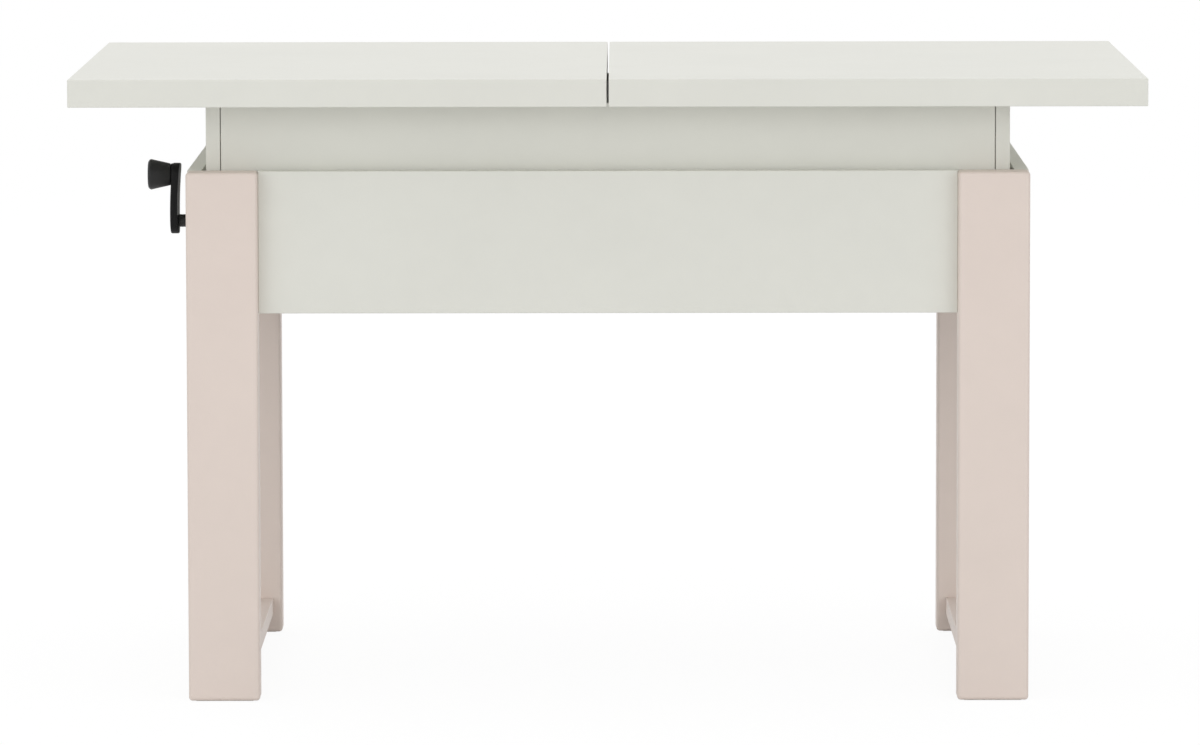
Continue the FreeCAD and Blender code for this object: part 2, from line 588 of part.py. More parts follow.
# Scissor arms: flat bars with round ends and three bores
def scissor_arm(name, end_bore, middle_bore, far_bore):
    body = new_body(name)
    sketch = new_sketch(body, "XZ_Plane")
    span = value["arm_span"]
    bore = value["pivot_dia"]
    radius = value["arm_wide"] / 2
    sketch.addGeometry(line((-span, radius), (0, radius)), False)
    sketch.addGeometry(Part.ArcOfCircle(Part.Circle(VEC(0, 0, 0), VEC(0, 0, 1), radius),
                                        -math.pi / 2, math.pi / 2), False)
    sketch.addGeometry(line((0, -radius), (-span, -radius)), False)
    sketch.addGeometry(Part.ArcOfCircle(Part.Circle(VEC(-span, 0, 0), VEC(0, 0, 1), radius),
                                        math.pi / 2, 3 * math.pi / 2), False)
    for x in (0, -span / 2, -span):
        sketch.addGeometry(Part.Circle(VEC(x, 0, 0), VEC(0, 0, 1), bore / 2), False)
    rules = (("Tangent", 0, 2, 1, 2), ("Tangent", 2, 1, 1, 1), ("Tangent", 2, 2, 3, 2),
             ("Tangent", 0, 1, 3, 1), ("Coincident", 1, 3, -1, 1), ("PointOnObject", 3, 3, -1),
             ("Equal", 1, 3),
             ("Coincident", 4, 3, 1, 3), ("PointOnObject", 5, 3, -1), ("Coincident", 6, 3, 3, 3))
    for rule in rules:
        sketch.addConstraint(Sketcher.Constraint(*rule))
    sizes = ((("DistanceX", 3, 3, 1, 3, span), "span", "arm_span"),
             (("DistanceX", 5, 3, 1, 3, span / 2), "middle", "arm_span / 2"),
             (("Radius", 1, radius), "round", "arm_wide / 2"),
             (("Diameter", 4, bore), "near_bore", end_bore),
             (("Diameter", 5, bore), "middle_bore", middle_bore),
             (("Diameter", 6, bore), "far_bore", far_bore))
    for rule, label, text in sizes:
        index = sketch.addConstraint(Sketcher.Constraint(*rule))
        sketch.renameConstraint(index, label)
        sketch.setExpression("Constraints." + label, ex(text))
    pad(body, sketch, "arm_thick")
    return body


RUN_PIN = "pivot_dia + run_play"
for side, sy in SIDES:
    arm = scissor_arm(f"scissor_arm_inner_{side}", RUN_PIN, "pivot_dia", "pivot_dia")
    arm.Placement = FreeCAD.Placement(VEC(), FreeCAD.Rotation(VEC(0, 1, 0), 12))
    arm.setExpression(".Placement.Rotation.Angle", ex(f"asin({RISE} / arm_span)"))
    node(place(arm, PIVOT_X, f"{sy} * {ARM_IN}", PIVOT_Z), f"scissor_arm_inner_{side}")
for side, sy in SIDES:
    arm = scissor_arm(f"scissor_arm_outer_{side}", "pivot_dia + pivot_play", RUN_PIN, "axle_dia")
    arm.Placement = FreeCAD.Placement(VEC(), FreeCAD.Rotation(VEC(0, -1, 0), 12))
    arm.setExpression(".Placement.Rotation.Angle", ex(f"asin({RISE} / arm_span)"))
    node(place(arm, PIVOT_X, f"{sy} * {ARM_OUT}", ROLLER_Z), f"scissor_arm_outer_{side}")

mid_x = f"({PIVOT_X} - {REACH} / 2)"
mid_z = f"({PIVOT_Z} + {RISE} / 2)"
shaft = doc.addObject("Part::Fuse", "centre_shaft")
shaft.Base = rod("centre_shaft_tie", "y", "tie_dia", f"2 * {ARM_Y}", (mid_x, f"-{ARM_Y}", mid_z))
shaft.Tool = rod("centre_shaft_pin", "y", "pivot_dia", f"2 * ({ARM_END} + pin_over)",
                 (mid_x, f"-({ARM_END} + pin_over)", mid_z))
node(shaft, "centre_shaft")

pins = []
rollers = []
for side, sy in SIDES:
    length = "(arm_thick + arm_gap + roller_wide + pin_over)"
    middle = f"({sy} * ({ARM_Y} + {length} / 2))"
    pins.append(rod(f"roller_pin_{side}", "y", "pivot_dia", length,
                    (FOOT_X, f"{middle} - {length} / 2", ROLLER_Z)))
    middle = f"({sy} * ({ARM_Y} + arm_thick + arm_gap + roller_wide / 2))"
    rollers.append(ring(f"upper_roller_{side}", "y", "roller_dia", RUN_PIN, "roller_wide",
                        (FOOT_X, f"{middle} - roller_wide / 2", ROLLER_Z)))
node(group("upper_roller_pins", pins), "upper_roller_pins")
node(group("upper_rollers", rollers), "upper_rollers")

node(rod("lower_axle", "y", "axle_dia", f"2 * ({ARM_END} + arm_gap + roller_wide + pin_over)",
         (FOOT_X, f"-({ARM_END} + arm_gap + roller_wide + pin_over)", PIVOT_Z)), "lower_axle")
rollers = []
for side, sy in SIDES:
    middle = f"({sy} * ({ARM_END} + arm_gap + roller_wide / 2))"
    rollers.append(ring(f"lower_roller_{side}", "y", "roller_dia", "axle_dia + run_play", "roller_wide",
                        (FOOT_X, f"{middle} - roller_wide / 2", PIVOT_Z)))
node(group("lower_rollers", rollers), "lower_rollers")

# Spindle, nut and crank
nut = board("spindle_nut_block", ("nut_long", "nut_wide", f"{CRANK_Z} - {PIVOT_Z} + 2 * nut_lip"),
            (FOOT_X, "0", f"{PIVOT_Z} - nut_lip"), "edge_round")
node(cut("spindle_nut", nut, [
    rod("nut_thread_bore", "x", "spindle_dia + run_play", "2 * nut_long",
        (f"{FOOT_X} - nut_long", "0", CRANK_Z)),
    rod("nut_axle_bore", "y", "axle_dia + run_play", "2 * nut_wide", (FOOT_X, "-nut_wide", PIVOT_Z))]),
    "spindle_nut")

spindle = rod("spindle_bar", "x", "spindle_dia", f"{ARM_FACE} + crank_thick / 2 + {FOOT_X} + spindle_over",
              (f"-({ARM_FACE} + crank_thick / 2)", "0", CRANK_Z))
roll_pin = rod("roll_pin", "z", "roll_pin_dia", "hub_dia",
               (f"-({BUSH_END} + hub_gap + hub_long / 2)", "0", f"{CRANK_Z} - hub_dia / 2"))
node(cut("lift_spindle", spindle, [roll_pin]), "lift_spindle")
node(roll_pin, "crank_roll_pin")

collars = []
for k, start in (("outer", f"-{CROSS_X} - bearing_thick / 2 - collar_gap - collar_thick"),
                 ("inner", f"-{CROSS_X} + bearing_thick / 2 + collar_gap")):
    collars.append(ring(f"thrust_collar_{k}", "x", "collar_dia", "spindle_dia", "collar_thick",
                        (start, "0", CRANK_Z)))
node(group("thrust_collars", collars), "thrust_collars")

# Crank arm: a tapered outline cut from a bowed strip, with a hub on the inside
body = new_body("crank_outline")
sketch = new_sketch(body, "YZ_Plane")
throw = value["crank_throw"]
big = value["crank_big"]
small = value["crank_small"]
lean = math.asin((big - small) / throw)
touch = []
for s in (1, -1):
    for radius, height in ((big, 0), (small, throw)):
        touch.append((s * radius * math.cos(lean), height + radius * math.sin(lean)))
sketch.addGeometry(line(touch[0], touch[1]), False)
sketch.addGeometry(Part.ArcOfCircle(Part.Circle(VEC(0, throw, 0), VEC(0, 0, 1), small),
                                    lean, math.pi - lean), False)
sketch.addGeometry(line(touch[3], touch[2]), False)
sketch.addGeometry(Part.ArcOfCircle(Part.Circle(VEC(0, 0, 0), VEC(0, 0, 1), big),
                                    math.pi - lean, 2 * math.pi + lean), False)
for rule in (("Tangent", 0, 2, 1, 1), ("Tangent", 2, 1, 1, 2), ("Tangent", 2, 2, 3, 1),
             ("Tangent", 0, 1, 3, 2), ("Coincident", 3, 3, -1, 1), ("PointOnObject", 1, 3, -2)):
    sketch.addConstraint(Sketcher.Constraint(*rule))
for rule, label, text in ((("DistanceY", 3, 3, 1, 3, throw), "throw", "crank_throw"),
                          (("Radius", 3, big), "big", "crank_big"),
                          (("Radius", 1, small), "small", "crank_small")):
    index = sketch.addConstraint(Sketcher.Constraint(*rule))
    sketch.renameConstraint(index, label)
    sketch.setExpression("Constraints." + label, ex(text))
pad(body, sketch, "4 * crank_thick")
place(body, f"-({ARM_FACE} + crank_thick / 2)", "0", CRANK_Z)

bow_x = f"(crank_bow - {CREST})"
bow_z = f"({CRANK_Z} + crank_crest)"
strip = ring("crank_strip", "y", "2 * crank_bow", "2 * (crank_bow - crank_thick)", "6 * crank_big",
             (bow_x, "-3 * crank_big", bow_z))
arm = doc.addObject("Part::Common", "crank_arm_blank")
arm.Base = body
arm.Tool = strip
hub = rod("crank_hub", "x", "hub_dia", "hub_long + crank_thick / 2",
          (f"-({ARM_FACE} + crank_thick / 2)", "0", CRANK_Z))
seat = rod("crank_knob_seat", "x", "knob_small", "crank_thick / 2", (f"-{KNOB_SEAT}", "0", KNOB_Z))
crank = doc.addObject("Part::MultiFuse", "crank_arm_solid")
crank.Shapes = [arm, hub, seat]
knob_pin = rod("knob_bolt_bar", "x", "knob_pin_dia", f"knob_long - knob_floor + knob_gap + crank_thick / 2",
               (f"-({KNOB_X} + knob_long - knob_floor)", "0", KNOB_Z))
node(cut("crank_arm", crank, [spindle, roll_pin, knob_pin]), "crank_arm")
node(knob_pin, "knob_bolt")

# Knob: a turned cone with a blind bore, its axis along x
body = new_body("crank_knob")
sketch = new_sketch(body, "XZ_Plane")
bore = "(knob_pin_dia + run_play) / 2"
depth = "(knob_long - knob_floor + knob_gap)"
polygon(sketch, (("0", bore), ("0", "knob_small / 2"), ("-knob_long", "knob_big / 2"), ("-knob_long", "0"),
                 (f"-{depth}", "0"), (f"-{depth}", bore)))
turned = body.newObject("PartDesign::Revolution", "crank_knob_turned")
turned.Profile = sketch
turned.ReferenceAxis = (sketch, ["H_Axis"])
turned.Angle = 360
doc.recompute()
rim = []
for i, edge in enumerate(turned.Shape.Edges, start=1):
    if edge.BoundBox.XMax < -value["knob_long"] + 0.01 and edge.Curve.TypeId == "Part::GeomCircle":
        rim.append(f"Edge{i}")
fillet(body, turned, rim, "knob_round")
node(place(body, f"-{KNOB_X}", "0", KNOB_Z), "crank_knob")

doc.recompute()

for obj in doc.Objects:
    if "Invalid" in obj.State or "Error" in obj.State:
        raise RuntimeError(f"{obj.Label}: {obj.State}")

os.makedirs("parts", exist_ok=True)
for obj in nodes:
    shape = obj.Shape
    if shape.isNull() or not shape.isValid() or not shape.Solids:
        raise RuntimeError(f"{obj.Label}: shape is not a valid solid")
    shape.exportStep(f"parts/{obj.Label}.step")
print(f"{len(nodes)} nodes written")
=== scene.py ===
import json
import math

import bmesh
import bpy
from mathutils import Matrix, Vector


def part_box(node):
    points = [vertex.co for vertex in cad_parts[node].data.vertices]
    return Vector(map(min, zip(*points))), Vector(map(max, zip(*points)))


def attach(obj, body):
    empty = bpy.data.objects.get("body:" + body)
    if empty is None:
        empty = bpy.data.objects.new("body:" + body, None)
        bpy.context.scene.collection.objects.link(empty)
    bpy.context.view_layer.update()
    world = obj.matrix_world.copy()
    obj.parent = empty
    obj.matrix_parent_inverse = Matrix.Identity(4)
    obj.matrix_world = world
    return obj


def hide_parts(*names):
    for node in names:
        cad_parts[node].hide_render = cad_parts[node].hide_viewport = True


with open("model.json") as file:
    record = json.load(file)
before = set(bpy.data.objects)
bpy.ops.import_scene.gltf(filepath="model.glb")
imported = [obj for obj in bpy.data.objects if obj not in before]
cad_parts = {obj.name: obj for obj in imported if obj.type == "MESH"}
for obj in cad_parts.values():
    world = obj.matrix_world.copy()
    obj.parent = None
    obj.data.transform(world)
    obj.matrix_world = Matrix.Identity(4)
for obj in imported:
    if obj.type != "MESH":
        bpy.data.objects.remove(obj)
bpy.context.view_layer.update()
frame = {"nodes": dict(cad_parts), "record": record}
MM = 0.001


def linear(*srgb):
    """A colour given as 0 to 255 values on the screen, made linear."""
    values = []
    for v in srgb:
        v = v / 255
        values.append(v / 12.92 if v <= 0.04045 else ((v + 0.055) / 1.055) ** 2.4)
    return (*values, 1.0)


# Shader maths
class Wire:
    """An output socket of a finish, with the arithmetic that the finishes use. a | b is the larger one."""

    def __init__(self, finish, socket):
        self.finish = finish
        self.socket = socket

    def math(self, operation, first, second):
        return self.finish.node("ShaderNodeMath", {"operation": operation}, {0: first, 1: second})

    def __add__(self, other):
        return self.math("ADD", self, other)

    def __radd__(self, other):
        return self.math("ADD", other, self)

    def __sub__(self, other):
        return self.math("SUBTRACT", self, other)

    def __rsub__(self, other):
        return self.math("SUBTRACT", other, self)

    def __mul__(self, other):
        return self.math("MULTIPLY", self, other)

    def __rmul__(self, other):
        return self.math("MULTIPLY", other, self)

    def __or__(self, other):
        return self.math("MAXIMUM", self, other)

    def __ror__(self, other):
        return self.math("MAXIMUM", other, self)


class Finish:
    """The nodes of one material, or of the studio's world, made and linked one by one."""

    def __init__(self, name, holders="materials", end="ShaderNodeOutputMaterial"):
        self.holder = getattr(bpy.data, holders).new(name)
        self.holder.use_nodes = True
        self.tree = self.holder.node_tree
        self.tree.nodes.clear()
        self.end = self.tree.nodes.new(end)

    def node(self, kind, settings=None, inputs=None, out=0):
        made = self.tree.nodes.new(kind)
        for key, setting in (settings or {}).items():
            setattr(made, key, setting)
        for key, given in (inputs or {}).items():
            if isinstance(given, Wire):
                self.tree.links.new(given.socket, made.inputs[key])
            else:
                made.inputs[key].default_value = given
        return Wire(self, made.outputs[out])

    def place(self, stretch=(1, 1, 1)):
        spot = self.node("ShaderNodeTexCoord", out="Object")
        return self.node("ShaderNodeMapping", {}, {"Vector": spot, "Scale": stretch})

    def axis(self, letter):
        return self.node("ShaderNodeSeparateXYZ", {}, {"Vector": self.place()}, out=letter)

    def noise(self, scale, detail=2.0, rough=0.5, stretch=(1, 1, 1)):
        return self.node("ShaderNodeTexNoise", {}, {"Vector": self.place(stretch), "Scale": scale,
                                                    "Detail": detail, "Roughness": rough})

    def cells(self, scale):
        return self.node("ShaderNodeTexVoronoi", {}, {"Vector": self.place(), "Scale": scale}, out="Distance")

    def range(self, value, source, target=(0.0, 1.0)):
        ends = dict(enumerate((*source, *target), 1))
        return self.node("ShaderNodeMapRange", {}, {0: value, **ends})

    def tint(self, factor, dark, light):
        return self.node("ShaderNodeMix", {"data_type": "RGBA"}, {0: factor, 6: dark, 7: light}, out=2)

    def bump(self, height, strength, depth):
        return self.node("ShaderNodeBump", {}, {"Height": height, "Strength": strength, "Distance": depth})

    def backdrop_ray(self):
        """1 on rays that see the backdrop itself: from the camera, in gloss and through glass."""
        camera = self.node("ShaderNodeLightPath", out="Is Camera Ray")
        gloss = self.node("ShaderNodeLightPath", out="Is Glossy Ray")
        glass = self.node("ShaderNodeLightPath", out="Is Transmission Ray")
        return camera | gloss | glass

    def surface(self, shader):
        self.tree.links.new(shader.socket, self.end.inputs["Surface"])
        return self.holder

    def close(self, **sockets):
        named = {key.replace("_", " ").title().replace("Ior", "IOR"): given for key, given in sockets.items()}
        return self.surface(self.node("ShaderNodeBsdfPrincipled", {}, named))


def shade(colour, k):
    """The colour, darker or lighter by the factor k."""
    return (*(min(1.0, c * k) for c in colour[:3]), 1.0)


# Finishes
def sprayed_lacquer(name, colour):
    """Satin lacquer on fibreboard: broad spray clouds, orange peel and dust nibs."""
    f = Finish(name)
    cloud = f.noise(5.0, detail=3.0, rough=0.55)
    drift = f.noise(38.0)
    peel = f.noise(420.0, detail=1.5, rough=0.6)
    fleck = f.range(f.noise(900.0, detail=0.0), (0.70, 0.80))
    spray = f.range(cloud * 0.7 + drift * 0.3, (0.3, 0.7))
    tone = f.tint(spray, shade(colour, 0.978), shade(colour, 1.018))
    tone = f.tint(fleck * 0.12, tone, shade(colour, 0.86))
    rough = f.range(drift * 0.5 + peel * 0.5, (0.3, 0.7), (0.40, 0.52))
    skin = f.bump(peel + fleck * 0.3, strength=0.10, depth=0.12 * MM)
    return f.close(base_color=tone, roughness=rough, normal=skin)


def moulded_black(name, dark, light, shine, painted_highlight=None):
    """Black nylon from a spark-eroded mould, with fine grain, and a painted grey highlight where the given
    mask function of the finish is 1.
    """
    f = Finish(name)
    grain = f.cells(900.0)
    cloud = f.noise(45.0)
    tone = f.tint(cloud, dark, light)
    if painted_highlight:
        # Painted highlight: a light grey laid over the black wherever the mask is 1.
        tone = f.tint(painted_highlight(f), tone, linear(102, 102, 103))
    rough = f.range(grain * 0.6 + cloud * 0.4, (0.2, 0.7), (0.44, 0.58))
    skin = f.bump(grain, strength=0.16, depth=0.10 * MM)
    return f.close(base_color=tone, roughness=rough, specular_ior_level=shine, normal=skin)


def zinc_sheet(name):
    """Zinc plated steel: soft crystal spangle under rolling lines."""
    f = Finish(name)
    spangle = f.cells(170.0)
    roll = f.noise(60.0, detail=3.0, rough=0.6, stretch=(0.08, 6.0, 6.0))
    tone = f.tint(spangle * 0.55 + roll * 0.45, linear(168, 171, 174), linear(206, 208, 209))
    rough = f.range(spangle * 0.5 + roll * 0.5, (0.2, 0.7), (0.32, 0.50))
    lines = f.bump(roll, strength=0.12, depth=0.05 * MM)
    return f.close(base_color=tone, metallic=1.0, roughness=rough, normal=lines)


def turned_steel(name, along):
    """Bright bar from the lathe: rings that follow only the bar's own axis."""
    f = Finish(name)
    stretch = tuple(1.0 if axis == along else 0.0 for axis in "xyz")
    rings = f.noise(2600.0, rough=0.7, stretch=stretch)
    smear = f.noise(90.0)
    tone = f.tint(rings * 0.6 + smear * 0.4, linear(180, 181, 183), linear(217, 217, 216))
    rough = f.range(rings * 0.5 + smear * 0.5, (0.2, 0.8), (0.20, 0.36))
    cuts = f.bump(rings, strength=0.15, depth=0.02 * MM)
    return f.close(base_color=tone, metallic=1.0, roughness=rough, normal=cuts)


def milled_brass(name):
    """Brass bar stock with cutter marks."""
    f = Finish(name)
    marks = f.noise(900.0, detail=1.0, stretch=(1.0, 0.1, 0.1))
    smear = f.noise(70.0, detail=3.0)
    tone = f.tint(smear, linear(181, 146, 84), linear(214, 182, 118))
    rough = f.range(marks * 0.5 + smear * 0.5, (0.2, 0.8), (0.24, 0.42))
    cuts = f.bump(marks, strength=0.2, depth=0.03 * MM)
    return f.close(base_color=tone, metallic=1.0, roughness=rough, normal=cuts)


def white_nylon(name):
    """Natural nylon, slightly waxy."""
    f = Finish(name)
    cloud = f.noise(60.0)
    grain = f.noise(1300.0, detail=1.0)
    tone = f.tint(cloud, linear(222, 220, 208), linear(233, 231, 221))
    rough = f.range(cloud * 0.5 + grain * 0.5, (0.3, 0.7), (0.36, 0.48))
    skin = f.bump(grain, strength=0.1, depth=0.06 * MM)
    return f.close(base_color=tone, roughness=rough, normal=skin)


def drawn_aluminium(name):
    """Extruded rail with die lines along its length."""
    f = Finish(name)
    lines = f.noise(500.0, detail=3.0, rough=0.7, stretch=(0.004, 1.0, 1.0))
    cloud = f.noise(25.0)
    streaks = lines * 0.6 + cloud * 0.4
    tone = f.tint(streaks, linear(196, 198, 200), linear(224, 225, 226))
    rough = f.range(streaks, (0.25, 0.75), (0.28, 0.44))
    cuts = f.bump(lines, strength=0.12, depth=0.03 * MM)
    return f.close(base_color=tone, metallic=1.0, roughness=rough, normal=cuts)


def raw_beech(name, dark, light, ray):
    """Unfinished beech: straight grain with short dark flecks."""
    f = Finish(name)
    grain = f.noise(120.0, detail=4.0, rough=0.65, stretch=(1.0, 1.0, 0.08))
    fleck = f.range(f.noise(700.0, detail=1.0, stretch=(1.0, 1.0, 0.12)), (0.60, 0.72))
    tone = f.tint(f.range(grain, (0.3, 0.7)), dark, light)
    tone = f.tint(fleck * 0.5, tone, ray)
    rough = f.range(grain * 0.7 + fleck * 0.3, (0.2, 0.8), (0.55, 0.75))
    pores = f.bump(grain - fleck * 0.4, strength=0.25, depth=0.12 * MM)
    return f.close(base_color=tone, roughness=rough, normal=pores)


def pressed_felt(name):
    """Grey wool felt: tangled fibres and a soft nap."""
    f = Finish(name)
    fibre = f.noise(1500.0, detail=4.0, rough=0.75)
    tuft = f.noise(240.0)
    tone = f.tint(fibre * 0.6 + tuft * 0.4, linear(62, 60, 58), linear(126, 123, 119))
    rough = f.range(fibre, (0.3, 0.7), (0.86, 0.98))
    nap = f.bump(fibre + tuft, strength=0.6, depth=0.35 * MM)
    return f.close(base_color=tone, roughness=rough, sheen_weight=0.4, normal=nap)


LEVER_BLACKS = (linear(12, 12, 13), linear(18, 18, 19), 0.2)
FINISHES = {
    "board_lacquer": sprayed_lacquer("off_white_board_lacquer", linear(227, 227, 219)),
    "leg_lacquer": sprayed_lacquer("powder_pink_leg_lacquer", linear(229, 215, 206)),
    "black_plastic": moulded_black("black_crank_nylon", *LEVER_BLACKS),
    "zinc_steel": zinc_sheet("zinc_plated_steel"),
    "bright_steel": turned_steel("turned_cross_shafts", "y"),
    "nut_brass": milled_brass("milled_nut_brass"),
    "white_nylon": white_nylon("white_roller_nylon"),
    "guide_aluminium": drawn_aluminium("drawn_guide_aluminium"),
    "beech": raw_beech("raw_beech", linear(190, 148, 104), linear(222, 186, 142), linear(142, 100, 66)),
    "felt": pressed_felt("grey_felt"),
}
turned_spindle = turned_steel("turned_long_spindle", "x")
knob_black = moulded_black("black_knob_nylon", linear(18, 18, 19), linear(26, 26, 27), 0.46)
hub_black = moulded_black("black_hub_nylon", linear(26, 26, 27), linear(34, 34, 35), 0.45)
pale_dowel = raw_beech("pale_dowel_beech", linear(204, 196, 182), linear(219, 212, 200),
                       linear(176, 166, 150))
OWN_FINISH = {
    "lift_spindle": turned_spindle,
    "thrust_collars": turned_spindle,
    "knob_bolt": turned_spindle,
    "crank_bush": hub_black,
    "inner_dowels": pale_dowel,
}

for entry in frame["record"]["subparts"]:
    obj = frame["nodes"][entry["node"]]
    look = OWN_FINISH.get(entry["node"], FINISHES[entry["material_slot"]])
    for slot in obj.material_slots:
        slot.material = look


# Pieces. Profiles are (along, radius) pairs in mm.
ALONG_X = (1, 0, 0)
ALONG_Y = (0, 1, 0)
ALONG_Z = (0, 0, 1)
ENDS = SIDES = (-1, 1)
TUBE_WIDE = 30 * MM
PLATE_THICK = 3 * MM
EAR_THICK = 4 * MM
LEVER_THICK = 10 * MM
LEVER_ROUND = 1.8 * MM
LEVER_BOW = 600 * MM
LEVER_SLICES = 24
WELD_INSET = 1 * MM
EAR_WELD = 30


def linked(name, data):
    """An object of this data, linked into the scene."""
    obj = bpy.data.objects.new(name, data)
    bpy.context.scene.collection.objects.link(obj)
    return obj


def linked_mesh(name, bm):
    """An object of the bmesh, which is freed."""
    mesh = bpy.data.meshes.new(name)
    bm.to_mesh(mesh)
    bm.free()
    return linked(name, mesh)


def finished(bm, name, slot, body, smooth=40, look=None):
    """Turns a bmesh into a named piece that rides on a body and takes a slot's finish, or its own look."""
    bmesh.ops.remove_doubles(bm, verts=bm.verts, dist=1e-6)
    bmesh.ops.recalc_face_normals(bm, faces=bm.faces)
    for face in bm.faces:
        face.smooth = True
    for edge in bm.edges:
        edge.smooth = len(edge.link_faces) != 2 or edge.calc_face_angle(0) < math.radians(smooth)
    piece = linked_mesh(name, bm)
    piece.data.materials.append(look or FINISHES[slot])
    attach(piece, body)
    return piece


def turned(bm, profile, axis, centre, steps=48):
    """Spins a profile round an axis through centre."""
    along = Vector(axis)
    across = along.orthogonal().normalized()
    verts = [bm.verts.new(centre + along * a * MM + across * r * MM) for a, r in profile]
    edges = [bm.edges.new(pair) for pair in zip(verts, verts[1:])]
    bmesh.ops.spin(bm, geom=verts + edges, cent=centre, axis=along, angle=2 * math.pi, steps=steps,
                   use_merge=True, dvec=(0, 0, 0))


def lever_plate(bm, outer, ends):
    """A flat plate round two (z, radius) ends, with rounded rims. Its outer face is at x = outer."""
    for z, radius in ends:
        spot = Matrix.Translation((outer + LEVER_THICK / 2, 0, z)) @ Matrix.Rotation(math.pi / 2, 4, "Y")
        bmesh.ops.create_cone(bm, cap_ends=True, segments=72, radius1=radius, radius2=radius,
                              depth=LEVER_THICK, matrix=spot)
    hull = bmesh.ops.convex_hull(bm, input=bm.verts)
    bmesh.ops.delete(bm, geom=hull["geom_interior"] + hull["geom_unused"], context="VERTS")
    bmesh.ops.dissolve_limit(bm, angle_limit=math.radians(0.5), verts=bm.verts, edges=bm.edges)
    rim = [e for e in bm.edges if e.calc_face_angle(0) > math.radians(60)]
    bmesh.ops.bevel(bm, geom=rim, offset=LEVER_ROUND, affect="EDGES", segments=4, profile=0.5, material=-1)


def bow_lever(bm, low_z, high_z, crest):
    """Cuts the plate into slices and bends it along an arc whose crest is at z = crest."""
    for i in range(1, LEVER_SLICES):
        level = low_z + (high_z - low_z) * i / LEVER_SLICES
        bmesh.ops.bisect_plane(bm, geom=bm.verts[:] + bm.edges[:] + bm.faces[:], plane_co=(0, 0, level),
                               plane_no=ALONG_Z)
    for v in bm.verts:
        v.co.x += (v.co.z - crest) ** 2 / (2 * LEVER_BOW)


def crank_arm():
    """The bowed, tapered lever with the seat of the knob, and the hub behind it."""
    low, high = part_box("crank_arm")
    pin_low, pin_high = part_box("lift_spindle")
    knob_low, knob_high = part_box("crank_knob")
    hub_z = (pin_low.z + pin_high.z) / 2
    knob_z = (knob_low.z + knob_high.z) / 2
    outer = low.x
    crest = hub_z + 8 * MM
    seat = ((4.0, 12.7), (1.1, 12.7), (0.5, 12.1), (0.5, 4.0))
    bm = bmesh.new()
    lever_plate(bm, outer, ((hub_z, hub_z - low.z), (knob_z, high.z - knob_z)))
    bow_lever(bm, low.z, high.z, crest)
    turned(bm, seat, ALONG_X, Vector((knob_high.x, 0, knob_z)))

    def rim_highlight_mask(f):
        """1 on the lever's back rim above the hub, where the finish paints a grey highlight for the light
        that the rim catches.
        """
        x = f.axis("X")
        z = f.axis("Z")
        straight = x - (z - crest) * (z - crest) * (0.5 / LEVER_BOW)
        edge = outer + LEVER_THICK - LEVER_ROUND
        above = hub_z + 7 * MM
        return f.range(straight, (edge, edge + 0.3 * MM)) * f.range(z, (above, above + MM))

    # This lever finish paints a grey highlight along the back rim.
    lever_with_painted_highlight = moulded_black("crank_nylon_painted_highlight", *LEVER_BLACKS, rim_highlight_mask)
    piece = finished(bm, "crank_lever", "black_plastic", "crank", look=lever_with_painted_highlight)
    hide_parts("crank_arm")
    hub = Vector((outer + LEVER_THICK / 2, 0, hub_z))
    reach = (high.x - hub.x) / MM
    bm = bmesh.new()
    turned(bm, ((0, 7.3), (reach - 0.6, 7.3), (reach, 6.7), (reach, 6.05)), ALONG_X, hub)
    finished(bm, "crank_hub", "black_plastic", "crank", look=hub_black)


def crank_knob():
    """The flared hand knob, with a dished end and a raised ring round the dish."""
    low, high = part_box("crank_knob")
    centre = Vector((high.x, 0, (low.z + high.z) / 2))
    length = (high.x - low.x) / MM
    edge = (high.z - low.z) / 2 / MM
    neck_end, neck = 0.7, 12.75
    rim = 4.6
    rim_steps = 8
    profile = [(0, 4.05), (0, 12.0), (0.25, 12.5), (neck_end, neck)]
    start = math.atan((edge - neck) / (length - rim - neck_end))
    for i in range(rim_steps + 1):
        turn = start + (math.pi / 2 - start) * i / rim_steps
        profile.append((length - rim + rim * math.sin(turn), edge - rim + rim * math.cos(turn)))
    dish = edge - rim
    profile += [(length - 0.1, dish - 1.2), (length - 0.9, dish - 2.6), (length - 1.3, dish - 6),
                (length - 1.4, 0)]
    bm = bmesh.new()
    turned(bm, profile, (-1, 0, 0), centre, 96)
    piece = finished(bm, "crank_hand_knob", "black_plastic", "knob", look=knob_black)
    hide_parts("crank_knob")


def threaded_spindle():
    """The lift spindle with its trapezoid thread, left-hand, and a plain journal for the bearing."""
    low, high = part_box("lift_spindle")
    collar_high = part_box("thrust_collars")[1]
    centre = Vector((low.x, 0, (low.z + high.z) / 2))
    length = (high.x - low.x) / MM
    plain = (collar_high.x - low.x) / MM + 6
    root, crest, journal = 4.9, 5.98, 6.0
    pitch = 2.0
    steps = 24
    bm = bmesh.new()
    turned(bm, ((0, 0), (0, 5.4), (0.6, journal), (plain, journal), (plain + 1.2, root)), ALONG_X, centre, 32)
    turned(bm, ((length - 1.4, root), (length - 0.6, root), (length, 4.4), (length, 0)), ALONG_X, centre, 32)
    turns = int((length - plain - 3.4) / pitch)
    begin = centre + Vector((plain + 0.8, 0, 0)) * MM
    ridge = ((0, root), (0.45, crest), (0.95, crest), (1.4, root), (pitch, root))
    verts = [bm.verts.new(begin + Vector((a, 0, r)) * MM) for a, r in ridge]
    edges = [bm.edges.new(pair) for pair in zip(verts, verts[1:])]
    bmesh.ops.spin(bm, geom=verts + edges, cent=begin, axis=ALONG_X, angle=-2 * math.pi * turns,
                   steps=steps * turns, dvec=(pitch * MM / steps, 0, 0))
    piece = finished(bm, "threaded_spindle", "bright_steel", "crank", 30, turned_spindle)
    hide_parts("lift_spindle")


